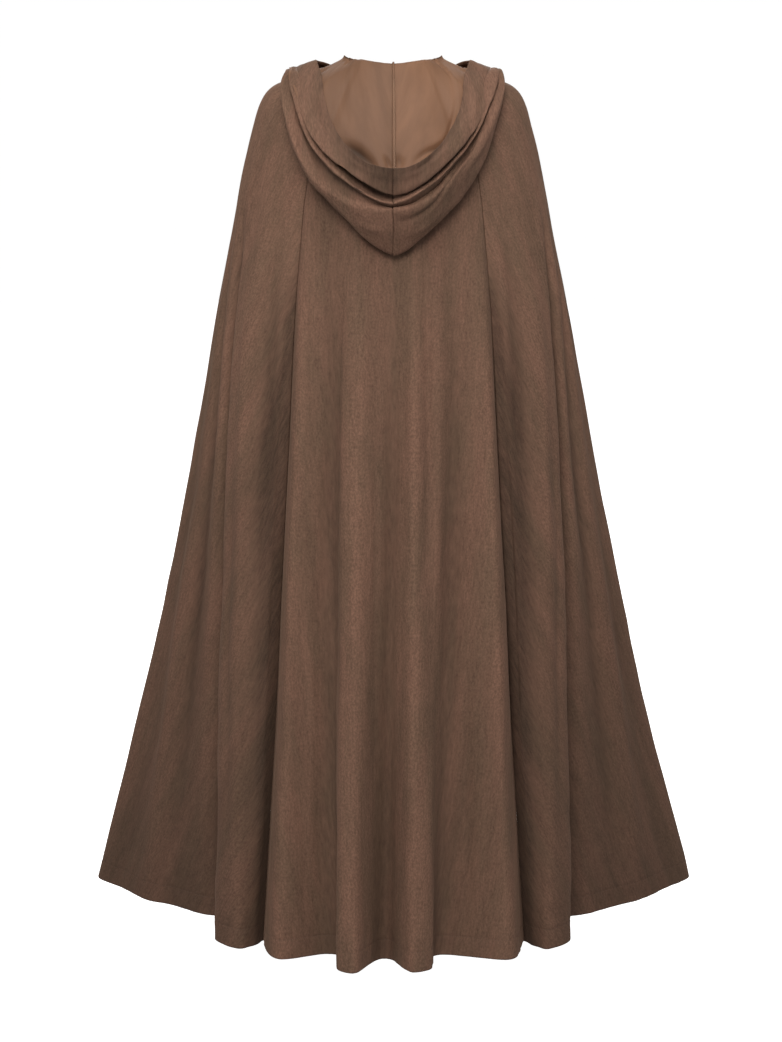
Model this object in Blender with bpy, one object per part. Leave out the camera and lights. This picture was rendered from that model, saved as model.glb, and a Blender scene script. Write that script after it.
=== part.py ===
# A burnous, a long hooded cloak, as it hangs when worn, with the hood down at the back.
# Units are metres. The seen back faces -Y, the wearer faces +Y, and +X is to the right of
# the seen back. The origin is in the middle of the neckline, where the cloak is held.

import math

import bmesh
import bpy
import numpy as np

for item in list(bpy.data.objects):
    bpy.data.objects.remove(item, do_unlink=True)

# Cloth

CLOTH = 0.0016
SEAM_GAP = 0.0003
NECK_GAP = 0.0006
HEM_HEIGHT = -1.430
FOLD_START = -0.200

# Sections of the cloak from the neckline to the hem.
# Columns: half width, depth at the back, depth at the front, the height of the section at
# the back, at the sides and at the front, and how it bends between them: 1 in one plane,
# 2 with a round top over the shoulders.
SECTIONS = (
    (0.0800, 0.0755, 0.0755, 0.0170, 0.0070, -0.0030, 1.0),
    (0.0802, 0.0757, 0.0757, 0.0140, 0.0040, -0.0060, 1.0),
    (0.1100, 0.0900, 0.0930, 0.0010, 0.0060, -0.0260, 1.5),
    (0.1500, 0.1050, 0.1070, -0.0180, 0.0050, -0.0570, 2.0),
    (0.1900, 0.1210, 0.1200, -0.0480, -0.0010, -0.0900, 2.0),
    (0.2140, 0.1330, 0.1300, -0.0820, -0.0150, -0.1180, 2.0),
    (0.2290, 0.1420, 0.1380, -0.1150, -0.0390, -0.1450, 2.0),
    (0.2410, 0.1500, 0.1460, -0.1500, -0.0760, -0.1750, 2.0),
    (0.2560, 0.1590, 0.1560, -0.1950, -0.1340, -0.2150, 2.0),
    (0.2770, 0.1790, 0.1750, -0.2650, -0.2380, -0.2750, 2.0),
    (0.3090, 0.2160, 0.2100, -0.3940, -0.3940, -0.3940, 2.0),
    (0.3480, 0.2690, 0.2580, -0.6070, -0.6070, -0.6070, 2.0),
    (0.3920, 0.3190, 0.3020, -0.8230, -0.8230, -0.8230, 2.0),
    (0.4380, 0.3660, 0.3450, -1.0430, -1.0430, -1.0430, 2.0),
    (0.4950, 0.4110, 0.3900, -1.2670, -1.2670, -1.2670, 2.0),
    (0.5400, 0.4450, 0.4300, HEM_HEIGHT, HEM_HEIGHT, HEM_HEIGHT, 2.0),
)

# Rows of the mesh between one section and the next
ROWS = (1, 1, 1, 1, 1, 1, 1, 1, 1, 1, 2, 1, 1, 1, 1)

# Lines that run from the neckline to the hem, one for each ridge, valley or turn of a fold.
# Columns: angle round the neck from the middle of the back in degrees, place across and
# place back or front at the hem, how late the fold grows, and its swell at half height.
BACK_LINES = {
    "corner left": (-90.0, -0.540, 0.000, 1.0, 0.000),
    "wing left outer": (-86.0, -0.489, -0.064, 1.0, 0.000),
    "wing left ridge": (-82.5, -0.442, -0.126, 1.0, 0.004),
    "wing left hollow": (-79.0, -0.392, -0.158, 1.0, -0.004),
    "wing left inner": (-75.0, -0.336, -0.204, 1.0, 0.004),
    "wing left valley": (-71.0, -0.284, -0.228, 1.0, -0.006),
    "flute left foot": (-69.5, -0.288, -0.282, 1.0, -0.002),
    "flute left edge": (-68.0, -0.299, -0.330, 1.0, 0.004),
    "flute left crest": (-58.0, -0.258, -0.377, 1.0, 0.004),
    "yoke left hollow": (-45.0, -0.241, -0.368, 1.0, -0.006),
    "yoke left ridge": (-38.6, -0.229, -0.358, 1.0, 0.002),
    "seam left": (-34.7, -0.220, -0.337, 0.9, -0.010),
    "panel left edge": (-33.3, -0.213, -0.388, 0.9, 0.000),
    "panel left crest": (-31.0, -0.184, -0.428, 1.0, 0.006),
    "panel left valley": (-21.5, -0.112, -0.402, 1.0, -0.010),
    "middle left foot": (-17.5, -0.087, -0.416, 1.1, -0.002),
    "middle left edge": (-15.6, -0.091, -0.466, 1.1, 0.002),
    "middle left crest": (-11.0, -0.066, -0.492, 1.0, 0.006),
    "middle valley": (0.2, -0.014, -0.425, 1.0, -0.012),
    "middle right crest": (6.8, 0.032, -0.488, 1.0, 0.006),
    "middle right edge": (11.0, 0.065, -0.466, 1.2, -0.008),
    "middle right foot": (14.6, 0.062, -0.428, 1.2, 0.008),
    "panel right valley": (22.0, 0.084, -0.405, 1.0, -0.008),
    "panel right crest": (31.0, 0.186, -0.430, 1.0, 0.006),
    "panel right edge": (33.3, 0.214, -0.392, 0.9, 0.000),
    "seam right": (34.7, 0.222, -0.340, 0.9, -0.010),
    "yoke right ridge": (38.6, 0.231, -0.360, 1.0, 0.002),
    "yoke right hollow": (45.0, 0.243, -0.370, 1.0, -0.006),
    "flute right crest": (58.0, 0.259, -0.380, 1.0, 0.004),
    "flute right edge": (68.0, 0.301, -0.332, 1.0, 0.004),
    "flute right foot": (69.5, 0.290, -0.284, 1.0, -0.002),
    "wing right valley": (71.0, 0.286, -0.230, 1.0, -0.006),
    "wing right inner": (75.0, 0.338, -0.204, 1.0, 0.004),
    "wing right hollow": (79.0, 0.396, -0.160, 1.0, -0.004),
    "wing right ridge": (82.5, 0.442, -0.127, 1.0, 0.006),
    "wing right outer": (86.0, 0.491, -0.066, 1.0, 0.000),
    "corner right": (90.0, 0.540, 0.000, 1.0, 0.000),
}

# The same columns for one front side, from the corner to the front edge
FRONT_LINES = {
    "front corner": (98.0, 0.512, 0.074, 1.0, 0.000),
    "front outer ridge": (108.0, 0.482, 0.156, 1.0, 0.004),
    "front outer valley": (119.0, 0.420, 0.196, 1.0, -0.004),
    "front middle ridge": (131.0, 0.398, 0.300, 1.0, 0.004),
    "front middle valley": (143.0, 0.304, 0.312, 1.0, -0.004),
    "front inner ridge": (154.0, 0.246, 0.400, 1.0, 0.004),
    "front inner valley": (165.0, 0.152, 0.392, 1.0, -0.004),
    "front edge ridge": (173.0, 0.092, 0.434, 1.0, 0.000),
    "front edge": (180.0, 0.020, 0.428, 1.0, 0.000),
}

# The front opening: a slit at the throat, a sewn length on the chest, and free edges below
SLIT_WIDTH = 0.024
SLIT_END = -0.110
CHEST_SEAM_END = -0.310
HEM_PARTING = 0.040

# Stations of the hood round the neck, from the middle of the back to the throat.
# Columns: angle in degrees, then distance out and height of the lower turn, of the lower
# side of the face band and of the rim, and how full the drapes are.
HOOD_STATIONS = (
    (0.0, 0.203, -0.284, 0.232, -0.184, 0.242, -0.139, 1.00),
    (12.0, 0.204, -0.260, 0.231, -0.166, 0.239, -0.126, 1.00),
    (24.0, 0.209, -0.220, 0.224, -0.133, 0.225, -0.095, 1.00),
    (36.0, 0.214, -0.172, 0.215, -0.092, 0.202, -0.056, 0.95),
    (48.0, 0.211, -0.118, 0.196, -0.052, 0.174, -0.024, 0.85),
    (62.0, 0.199, -0.038, 0.183, -0.016, 0.150, 0.004, 0.75),
    (78.0, 0.182, 0.009, 0.170, 0.015, 0.136, 0.027, 0.60),
    (92.0, 0.171, 0.014, 0.164, 0.020, 0.131, 0.036, 0.50),
    (110.0, 0.158, 0.006, 0.148, 0.014, 0.122, 0.032, 0.40),
    (130.0, 0.140, -0.018, 0.130, -0.004, 0.110, 0.016, 0.30),
    (150.0, 0.121, -0.032, 0.112, -0.017, 0.100, 0.003, 0.20),
    (162.0, 0.108, -0.026, 0.103, -0.012, 0.096, 0.006, 0.10),
    (171.0, 0.094, -0.008, 0.094, 0.002, 0.093, 0.011, 0.00),
)
HOOD_COLUMNS = 16
HOOD_STEPS = 2


def slopes(values, soft):
    # Slopes of a smooth line through the rows of values
    step = values[1:] - values[:-1]
    inner = (step[1:] + step[:-1]) / 2
    if not soft:
        smaller = np.minimum(np.abs(step[1:]), np.abs(step[:-1]))
        same = step[1:] * step[:-1] > 0
        inner = np.where(same, np.sign(inner) * np.minimum(np.abs(inner), 2 * smaller), 0)
    return np.concatenate([step[:1], inner, step[-1:]])


def through(values, at, soft=False):
    # A smooth line through the rows of values, read at places counted in rows
    values = np.asarray(values, float)
    slope = slopes(values, soft)
    low = np.clip(np.floor(at).astype(int), 0, len(values) - 2)
    t = (at - low).reshape((-1,) + (1,) * (values.ndim - 1))
    a, b = values[low], values[low + 1]
    ma, mb = slope[low], slope[low + 1]
    return (
        a * (2 * t**3 - 3 * t**2 + 1)
        + ma * (t**3 - 2 * t**2 + t)
        + b * (3 * t**2 - 2 * t**3)
        + mb * (t**3 - t**2)
    )


def opening(height):
    # Half the distance between the two front edges
    if height > SLIT_END:
        part = min((height - SLIT_END) / 0.08, 1.0)
        return SEAM_GAP / 2 + (SLIT_WIDTH / 2 - SEAM_GAP / 2) * part**2
    if height > CHEST_SEAM_END:
        return SEAM_GAP / 2
    part = (CHEST_SEAM_END - height) / (CHEST_SEAM_END - HEM_HEIGHT)
    return SEAM_GAP / 2 + (HEM_PARTING / 2 - SEAM_GAP / 2) * part**1.2


# All lines in order, from the front edge on the left round the back to the one on the right
right_front = list(FRONT_LINES.values())
left_front = [(-a, -x, y, late, swell) for a, x, y, late, swell in reversed(right_front)]
LINES = np.array(left_front + list(BACK_LINES.values()) + right_front)
NAMES = ["left"] * len(left_front) + list(BACK_LINES) + ["right"] * len(right_front)
SEAM_LEFT = NAMES.index("seam left")
SEAM_RIGHT = NAMES.index("seam right")


def cloak_row(down, at):
    # Points of the cloak's middle layer on one row; down is counted in sections
    section = through(SECTIONS, np.array([down]))[0]
    half, back, front, z_back, z_side, z_front, bend = section
    angle = np.radians(LINES[:, 0])
    turn = 1 - np.abs(np.cos(angle)) ** bend
    behind = np.cos(angle) > 0
    height = np.where(behind, z_back, z_front) * (1 - turn) + z_side * turn
    reach = np.clip((FOLD_START - height) / (FOLD_START - HEM_HEIGHT), 0, 1)
    grown = reach ** LINES[:, 3]
    hem_half, hem_back, hem_front = SECTIONS[-1][:3]
    hem_depth = np.where(LINES[:, 2] < 0, hem_back, hem_front)
    across = np.sin(angle) * (1 - grown) + LINES[:, 1] / hem_half * grown
    along = -np.cos(angle) * (1 - grown) + LINES[:, 2] / hem_depth * grown
    swell = LINES[:, 4] * np.sin(math.pi * reach)
    x = half * across + swell * np.sin(angle) * turn
    y = np.where(along < 0, back, front) * along - swell * np.cos(angle)
    gap = opening(height[0])
    x[0], x[-1] = -gap, gap
    row = np.stack([x, y, height], axis=1)
    return through(row, np.asarray(at, float))


def hood_profile(angle, side):
    # The hood's middle layer at one angle, from the neckline to the rim
    turn = math.radians(angle)
    place = np.interp(angle, [s[0] for s in HOOD_STATIONS], range(len(HOOD_STATIONS)))
    station = through(HOOD_STATIONS, np.array([place]), soft=True)[0]
    turn_at, band, rim, full = station[1:3], station[3:5], station[5:7], station[7]
    half, depth, _, z_back, z_side = SECTIONS[0][:5]
    ring = 1 / math.hypot(math.sin(turn) / half, math.cos(turn) / depth)
    level = z_side + (z_back - z_side) * ring * math.cos(turn) / depth + NECK_GAP
    neck = np.array([ring, level])
    out = np.array([1.0, 0.0])
    up = np.array([0.0, 1.0])
    lying = min(1.0, full / 0.3)
    rise = neck + up * 0.004
    roll = neck + out * 0.005 * lying + up * (0.008 + 0.013 * math.sin(2 * min(turn, 0.9)) ** 2)
    over = roll + out * (0.006 + 0.008 * lying) + up * (0.003 - 0.006 * lying)
    under = over * 0.5 + turn_at * 0.5 + (out * 0.006 + up * 0.004) * full
    inner = over * 0.12 + turn_at * 0.88 - out * 0.006 * full + up * 0.004 * full
    swell = turn_at * 0.38 + band * 0.62 + out * 0.020 * full
    tuck = turn_at * 0.20 + band * 0.80 + out * 0.006 * full
    drape = turn_at * 0.09 + band * 0.91 + out * 0.020 * full
    hollow = turn_at * -0.05 + band * 1.05 - out * 0.001 * full
    lower = band + out * 0.016 * full
    face = band * 0.5 + rim * 0.5 + out * 0.018 * full
    points = [neck, rise, roll, over, under, inner, turn_at]
    points += [swell, tuck, drape, hollow, lower, face, rim]
    plan = through(points, np.linspace(0, len(points) - 1, (len(points) - 1) * HOOD_STEPS + 1), soft=True)
    return [(side * p[0] * math.sin(turn), -p[0] * math.cos(turn), p[1]) for p in plan]


def normals_of(grid):
    # Unit normals of a grid of points, rows first
    down = np.gradient(grid, axis=0)
    along = np.gradient(grid, axis=1)
    normal = np.cross(down, along)
    return normal / np.linalg.norm(normal, axis=2, keepdims=True)


def add_cloth(name, grid, normal, material):
    # A closed wall of cloth on both sides of a grid of points
    rows, columns = grid.shape[:2]
    mesh = bmesh.new()
    layers = []
    for side in (0.5, -0.5):
        layer = grid + normal * CLOTH * side
        layers.append([[mesh.verts.new(p) for p in line] for line in layer])
    for outer, flip in ((layers[0], False), (layers[1], True)):
        for r in range(rows - 1):
            for c in range(columns - 1):
                face = [outer[r][c], outer[r + 1][c], outer[r + 1][c + 1], outer[r][c + 1]]
                mesh.faces.new(face[::-1] if flip else face)
    edge = [(0, c) for c in range(columns)]
    edge += [(r, columns - 1) for r in range(1, rows)]
    edge += [(rows - 1, c) for c in range(columns - 2, -1, -1)]
    edge += [(r, 0) for r in range(rows - 2, 0, -1)]
    for i, (r, c) in enumerate(edge):
        r2, c2 = edge[(i + 1) % len(edge)]
        mesh.faces.new([layers[0][r][c], layers[0][r2][c2], layers[1][r2][c2], layers[1][r][c]])
    bmesh.ops.triangulate(mesh, faces=mesh.faces[:])
    bmesh.ops.recalc_face_normals(mesh, faces=mesh.faces[:])
    data = bpy.data.meshes.new(name)
    mesh.to_mesh(data)
    mesh.free()
    data.shade_smooth()
    data.materials.append(material)
    part = bpy.data.objects.new(name, data)
    bpy.context.scene.collection.objects.link(part)
    return part


def suede(name, color, roughness):
    material = bpy.data.materials.new(name)
    material.use_nodes = True
    shader = material.node_tree.nodes["Principled BSDF"]
    shader.inputs["Base Color"].default_value = (*color, 1.0)
    shader.inputs["Roughness"].default_value = roughness
    shader.inputs["Metallic"].default_value = 0.0
    material.diffuse_color = (*color, 1.0)
    return material


def places_between(first, last):
    # Column places from one line to another, closer together where the lines are far apart
    places = [float(first)]
    for line in range(first, last):
        a, b = LINES[line], LINES[line + 1]
        wide = math.dist(a[1:3], b[1:3])
        parts = 1 if wide < 0.025 else 2 if wide < 0.090 else 3
        places += [line + i / parts for i in range(1, parts + 1)]
    return places


down_places = [0.0]
for section, parts in enumerate(ROWS):
    down_places += [section + i / parts for i in range(1, parts + 1)]


def cloak_panel(name, first, last, material):
    # One sewn panel of the cloak between two of the lines
    at = places_between(first, last)
    grid = np.array([cloak_row(down, at) for down in down_places])
    small = 0.02
    before = np.array([cloak_row(down, np.array(at) - small) for down in down_places])
    after = np.array([cloak_row(down, np.array(at) + small) for down in down_places])
    tangent = after - before
    tangent /= np.linalg.norm(tangent, axis=2, keepdims=True)
    drop = np.gradient(grid, axis=0)
    normal = np.cross(drop, tangent)
    normal /= np.linalg.norm(normal, axis=2, keepdims=True)
    if first > 0:
        grid[:, 0] += tangent[:, 0] * SEAM_GAP / 2
    else:
        normal[:, 0, 0] = 0
    if last < len(LINES) - 1:
        grid[:, -1] -= tangent[:, -1] * SEAM_GAP / 2
    else:
        normal[:, -1, 0] = 0
    normal /= np.linalg.norm(normal, axis=2, keepdims=True)
    return add_cloth(name, grid, normal, material)


def hood_half(name, side, material):
    # One half of the hood, sewn to the other along the middle of the back
    angles = [HOOD_STATIONS[-1][0] * (i / HOOD_COLUMNS) ** 1.15 for i in range(HOOD_COLUMNS + 1)]
    columns = [hood_profile(angle, side) for angle in angles]
    grid = np.array(columns).transpose(1, 0, 2)
    if side < 0:
        grid = grid[:, ::-1]
    normal = normals_of(grid)
    seam = 0 if side > 0 else -1
    grid[:, seam, 0] = side * SEAM_GAP / 2
    normal[:, seam, 0] = 0
    normal /= np.linalg.norm(normal, axis=2, keepdims=True)
    return add_cloth(name, grid, normal, material)


# Cloak

cloak_panel("back_centre", SEAM_LEFT, SEAM_RIGHT, suede("back_suede", (0.136, 0.080, 0.057), 0.86))
cloak_panel("side_left", 0, SEAM_LEFT, suede("left_suede", (0.118, 0.070, 0.048), 0.86))
cloak_panel("side_right", SEAM_RIGHT, len(LINES) - 1, suede("right_suede", (0.118, 0.070, 0.048), 0.86))

# Hood

hood_half("hood_left", -1, suede("hood_left_suede", (0.130, 0.078, 0.054), 0.84))
hood_half("hood_right", 1, suede("hood_right_suede", (0.130, 0.078, 0.054), 0.84))
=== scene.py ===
# A long hooded cloak of brown faux suede, worn form, seen from the back with the hood down.
# Metres. The seen back faces -Y and the middle of the neckline is the origin.

import math

import bmesh
import bpy
import numpy as np
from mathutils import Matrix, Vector, noise


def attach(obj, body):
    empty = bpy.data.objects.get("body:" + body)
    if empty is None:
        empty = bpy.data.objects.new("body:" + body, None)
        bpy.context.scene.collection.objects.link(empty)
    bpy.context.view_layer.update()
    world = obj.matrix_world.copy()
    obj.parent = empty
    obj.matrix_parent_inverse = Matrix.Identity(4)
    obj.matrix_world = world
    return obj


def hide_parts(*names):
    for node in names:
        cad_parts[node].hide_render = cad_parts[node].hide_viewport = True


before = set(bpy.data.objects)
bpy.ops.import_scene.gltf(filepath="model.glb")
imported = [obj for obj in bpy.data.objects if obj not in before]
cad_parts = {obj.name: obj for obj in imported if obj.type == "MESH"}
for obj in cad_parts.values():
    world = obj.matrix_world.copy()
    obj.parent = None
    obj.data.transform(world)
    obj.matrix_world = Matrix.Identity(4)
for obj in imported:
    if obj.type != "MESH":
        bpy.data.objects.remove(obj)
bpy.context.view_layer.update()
millimetre = 0.001
print("frame loaded:", ", ".join(sorted(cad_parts)))


# Camera, floor and light

studio = {
    "focal": 85.3,
    "sensor": 36.0,
    "cameraPlace": (-0.0035, -4.32, 0.028),
    "cameraTilt": 10.47,  # degrees down
    "floorHeight": -1.60,
    "floorRadius": 13.0,
    "domeRadius": 16.0,
    "floorColour": "#F4F3F1",
    "ambient": 0.26,
}

# Columns: place, size, power in watts, colour, point that it faces
softBoxes = {
    "key": ((-0.5, -4.6, 2.3), 2.6, 215, "#FFF9F3", (0.0, 0.0, -0.70)),
    "left": ((-4.2, -2.4, 0.6), 2.0, 34, "#FFFFFF", (0.0, 0.0, -0.60)),
    "right": ((4.2, -2.4, 0.6), 2.0, 34, "#FFFFFF", (0.0, 0.0, -0.60)),
    "top": ((0.0, -1.0, 2.6), 1.6, 34, "#FFFBF6", (0.0, -0.1, 0.0)),
    "behind": ((0.0, 4.4, 2.0), 2.4, 90, "#FFFFFF", (0.0, 0.0, -0.60)),
}


def colour(hexValue, gain=1.0):
    # An sRGB hex value as linear red, green, blue and alpha
    parts = [int(hexValue[i:i + 2], 16) / 255 for i in (1, 3, 5)]
    return (*[gain * (p / 12.92 if p <= 0.04045 else ((p + 0.055) / 1.055) ** 2.4) for p in parts], 1.0)


def addNode(tree, kind, inputs=(), **settings):
    # A node with its settings; each input is a value, a socket, or a node whose output it takes
    node = tree.nodes.new("ShaderNode" + kind)
    for name, value in settings.items():
        setattr(node, name, value)
    for name, value in dict(inputs).items():
        if isinstance(value, bpy.types.Node):
            value = next(output for output in value.outputs if output.enabled)
        if isinstance(value, bpy.types.NodeSocket):
            tree.links.new(value, node.inputs[name])
        else:
            node.inputs[name].default_value = value
    return node


def newMaterial(name, **uniform):
    # A material with its Principled shader; uniform values go straight on its sockets
    material = bpy.data.materials.new(name)
    material.use_nodes = True
    tree = material.node_tree
    tree.nodes.clear()
    shader = addNode(tree, "BsdfPrincipled", {k.replace("_", " "): v for k, v in uniform.items()})
    addNode(tree, "OutputMaterial", {"Surface": shader})
    return material, tree, shader


def addObject(name, data):
    thing = bpy.data.objects.new(name, data)
    bpy.context.scene.collection.objects.link(thing)
    return thing


camera = addObject("camera", bpy.data.cameras.new("camera"))
camera.data.lens = studio["focal"]
camera.data.sensor_width = studio["sensor"]
camera.location = studio["cameraPlace"]
camera.rotation_euler = (math.radians(90 - studio["cameraTilt"]), 0, 0)
camera.data.clip_end = 60
bpy.context.scene.camera = camera
bpy.context.scene.view_settings.view_transform = "Standard"

world = bpy.data.worlds.new("studio air")
world.use_nodes = True
world.node_tree.nodes["Background"].inputs["Color"].default_value = colour("#FFFFFF")
world.node_tree.nodes["Background"].inputs["Strength"].default_value = studio["ambient"]
bpy.context.scene.world = world

for boxName, (place, size, power, tint, target) in softBoxes.items():
    lamp = bpy.data.lights.new("softbox " + boxName, "AREA")
    lamp.shape = "DISK"
    lamp.size = size
    lamp.energy = power
    lamp.color = colour(tint)[:3]
    lampObject = addObject(lamp.name, lamp)
    lampObject.location = place
    lampObject.rotation_euler = (Vector(target) - Vector(place)).to_track_quat("-Z", "Y").to_euler()


def meshOf(name, shape, materials):
    mesh = bpy.data.meshes.new(name)
    shape.to_mesh(mesh)
    shape.free()
    for material in materials:
        mesh.materials.append(material)
    return mesh


def addStage(name, shape, material):
    piece = addObject(name, meshOf(name, shape, [material]))
    piece.visible_diffuse = False  # the white surround gives the cloak no light of its own
    piece.visible_glossy = False
    return piece


# Matte studio paper: an even pale floor, bright enough to be near white
paper, _, _ = newMaterial(
    "matte studio paper",
    Base_Color=colour(studio["floorColour"]),
    Roughness=0.9,
    Emission_Color=colour("#FFFFFF"),
    Emission_Strength=1.0,
)
floorShape = bmesh.new()
bmesh.ops.create_circle(floorShape, cap_ends=True, segments=96, radius=studio["floorRadius"])
bmesh.ops.translate(floorShape, verts=floorShape.verts, vec=(0, 0, studio["floorHeight"]))
addStage("floor", floorShape, paper)

# White studio surround, lit evenly
surround, _, _ = newMaterial(
    "white studio surround",
    Base_Color=colour("#000000"),
    Roughness=1.0,
    Emission_Color=colour("#FFFFFF"),
    Emission_Strength=1.0,
)
domeShape = bmesh.new()
bmesh.ops.create_uvsphere(domeShape, u_segments=48, v_segments=24, radius=studio["domeRadius"])
bmesh.ops.reverse_faces(domeShape, faces=domeShape.faces)
dome = addStage("surround", domeShape, surround)
dome.visible_shadow = False
print("studio ready")


# Materials

suede = {
    "warm": "#6A4F41",  # reddish brown patches of the nap
    "cool": "#5E493B",  # olive brown patches
    "shadeHeights": (-0.25, -1.40),
    # Sizes across and down in millimetres. A real nap is finer than this grain, which is
    # drawn as coarse as the picture needs
    "patterns": {"patch": (45, 240), "band": (26, 420), "streak": (4.4, 22), "grain": (2.8, 4.6)},
}
wrongSide = {
    # painted shade: the left colour is the right one made darker
    "left": "#6F523F",
    "right": "#785843",
    # Sizes in millimetres. A yarn is 0.2 mm; it is drawn 1.8 mm so that it shows
    "patterns": {"blotch": (40, 60), "weave": (9, 1.8)},
}


def addPatterns(tree, patterns, seed):
    # Noise on the cloth's own flat map for each named size
    flat = addNode(tree, "UVMap", uv_map="flat")
    noises = {}
    for number, (name, (wide, tall)) in enumerate(patterns.items()):
        offset = seed + number * 3.7
        size = {"Vector": flat, "Scale": (1000 / wide, 1000 / tall, 1), "Location": (offset, offset, 0)}
        place = addNode(tree, "Mapping", size)
        size = {"Vector": place, "Scale": 1.0, "Detail": 3.0, "Roughness": 0.6}
        noises[name] = addNode(tree, "TexNoise", size)
    return noises


def suedeMaterial(name, shoulderLight, hemShade, seed):
    # Microfibre faux suede, woven and brushed: matte, with a short nap that lies in soft streaks
    # down the cloth, with a warmer painted highlight on the folds' crests and painted shade in their
    # hollows. Its lightness over the shoulders and at the hem is painted shade, darker towards the hem
    material, tree, shader = newMaterial(
        name,
        Roughness=0.88,
        IOR=1.45,
        Specular_IOR_Level=0.25,
        Sheen_Weight=0.14,
        Sheen_Roughness=0.45,
        Sheen_Tint=colour("#C9A58C"),
    )
    fold = addNode(tree, "Attribute", attribute_name="fold").outputs["Fac"]
    pattern = addPatterns(tree, suede["patterns"], seed)
    warmth = addNode(tree, "MapRange", {"Value": pattern["patch"], "From Min": 0.36, "From Max": 0.64})
    # painted sheen and shade: the folds' crests turn warmer and their hollows cooler
    warmth = addNode(tree, "Math", {0: fold, 1: 0.25, 2: warmth}, operation="MULTIPLY_ADD")
    naps = {"Factor": warmth, "A": colour(suede["cool"]), "B": colour(suede["warm"])}
    nap = addNode(tree, "Mix", naps, data_type="RGBA")
    # Lighter and darker streaks, grain and bands of the nap, then painted shade in the folds' hollows and
    # painted highlight on their crests, with more painted shade in the deepest hollows, each by its own
    # share
    light = 1.0
    shares = (
        (pattern["streak"], 0.3, 0.7, 0.17),
        (pattern["grain"], 0.3, 0.7, 0.24),
        (pattern["band"], 0.36, 0.64, 0.07),
        (fold, -1.0, 1.0, 0.10),
        (fold, -1.0, -0.5, 0.12),
    )
    for value, low, high, share in shares:
        ends = {"From Min": low, "From Max": high, "To Min": -share, "To Max": share}
        change = addNode(tree, "MapRange", {"Value": value, **ends})
        light = addNode(tree, "Math", {0: light, 1: change}, operation="ADD")
    # The nap's grain as dark flecks of painted shade in the hollows and pale flecks of painted highlight
    # on the crests
    fleck = addNode(tree, "MapRange", {"Value": pattern["grain"], "From Min": 0.45, "From Max": 0.57})
    for weak, strong, share in ((-0.1, -0.6, -0.30), (0.2, 0.7, 0.15)):
        reach = addNode(tree, "MapRange", {"Value": fold, "From Min": weak, "From Max": strong})
        fleckedShade = addNode(tree, "Math", {0: fleck, 1: reach}, operation="MULTIPLY")
        light = addNode(tree, "Math", {0: fleckedShade, 1: share, 2: light}, operation="MULTIPLY_ADD")
    # painted shade by height: lighter over the shoulders, darker towards the hem
    place = addNode(tree, "TexCoord").outputs["Object"]
    height = addNode(tree, "SeparateXYZ", {0: place}).outputs["Z"]
    high, low = suede["shadeHeights"]
    ends = {"From Min": high, "From Max": low, "To Min": shoulderLight, "To Max": hemShade}
    shade = addNode(tree, "MapRange", {"Value": height, **ends})
    light = addNode(tree, "Math", {0: light, 1: shade}, operation="MULTIPLY")
    gray = addNode(tree, "CombineXYZ", {0: light, 1: light, 2: light})
    layers = {"Factor": 1.0, "A": nap, "B": gray}
    lit = addNode(tree, "Mix", layers, data_type="RGBA", blend_type="MULTIPLY")
    tree.links.new(lit.outputs["Result"], shader.inputs["Base Color"])
    heights = {0: pattern["grain"], 1: 0.6, 2: pattern["streak"]}
    relief = addNode(tree, "Math", heights, operation="MULTIPLY_ADD")
    bump = addNode(tree, "Bump", {"Height": relief, "Strength": 0.35, "Distance": 0.0008})
    tree.links.new(bump.outputs[0], shader.inputs["Normal"])
    return material


def wrongSideMaterial(name, tint, seed):
    # The same cloth's wrong side, which isn't brushed: a smooth close weave, lighter and a
    # little silky, with faint blotches
    material, tree, shader = newMaterial(
        name,
        Roughness=0.60,
        IOR=1.47,
        Specular_IOR_Level=0.25,
        Sheen_Weight=0.15,
        Sheen_Roughness=0.35,
        Sheen_Tint=colour("#E3C3A6"),
    )
    pattern = addPatterns(tree, wrongSide["patterns"], seed)
    blotch = addNode(tree, "MapRange", {"Value": pattern["blotch"], "From Min": 0.38, "From Max": 0.62})
    tints = {"Factor": blotch, "A": colour(tint, 0.90), "B": colour(tint, 1.08)}
    weave = addNode(tree, "Mix", tints, data_type="RGBA")
    # a crest of the right side is a hollow here, painted deep in shade, nearly black
    fold = addNode(tree, "Attribute", attribute_name="fold").outputs["Fac"]
    hollowShade = addNode(tree, "MapRange", {"Value": fold, "From Min": 0.15, "From Max": 0.9})
    tints = {"Factor": hollowShade, "A": weave.outputs["Result"], "B": colour(tint, 0.16)}
    base = addNode(tree, "Mix", tints, data_type="RGBA")
    tree.links.new(base.outputs["Result"], shader.inputs["Base Color"])
    bump = addNode(tree, "Bump", {"Height": pattern["weave"], "Strength": 0.2, "Distance": 0.0004})
    tree.links.new(bump.outputs[0], shader.inputs["Normal"])
    return material


def threadMaterial(name, hexValue):
    # Spun polyester sewing thread: its twist gives fine slanting bands, darker between them
    material, tree, shader = newMaterial(name, Roughness=0.6, IOR=1.5, Specular_IOR_Level=0.4)
    place = addNode(tree, "TexCoord").outputs["Object"]
    size = {"Vector": place, "Scale": 260.0, "Distortion": 1.5}
    twist = addNode(tree, "TexWave", size, bands_direction="DIAGONAL").outputs["Fac"]
    tints = {"Factor": twist, "A": colour(hexValue, 0.6), "B": colour(hexValue)}
    base = addNode(tree, "Mix", tints, data_type="RGBA")
    tree.links.new(base.outputs["Result"], shader.inputs["Base Color"])
    return material


leftWrongSide = wrongSideMaterial("smooth wrong side with painted shade, left", wrongSide["left"], 21)
rightWrongSide = wrongSideMaterial("smooth wrong side with painted shade, right", wrongSide["right"], 33)
brownThread = threadMaterial("brown polyester thread", "#4A372B")
tanThread = threadMaterial("tan overlock thread", "#B99A7E")
print("materials ready")


# Cloth in general

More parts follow.
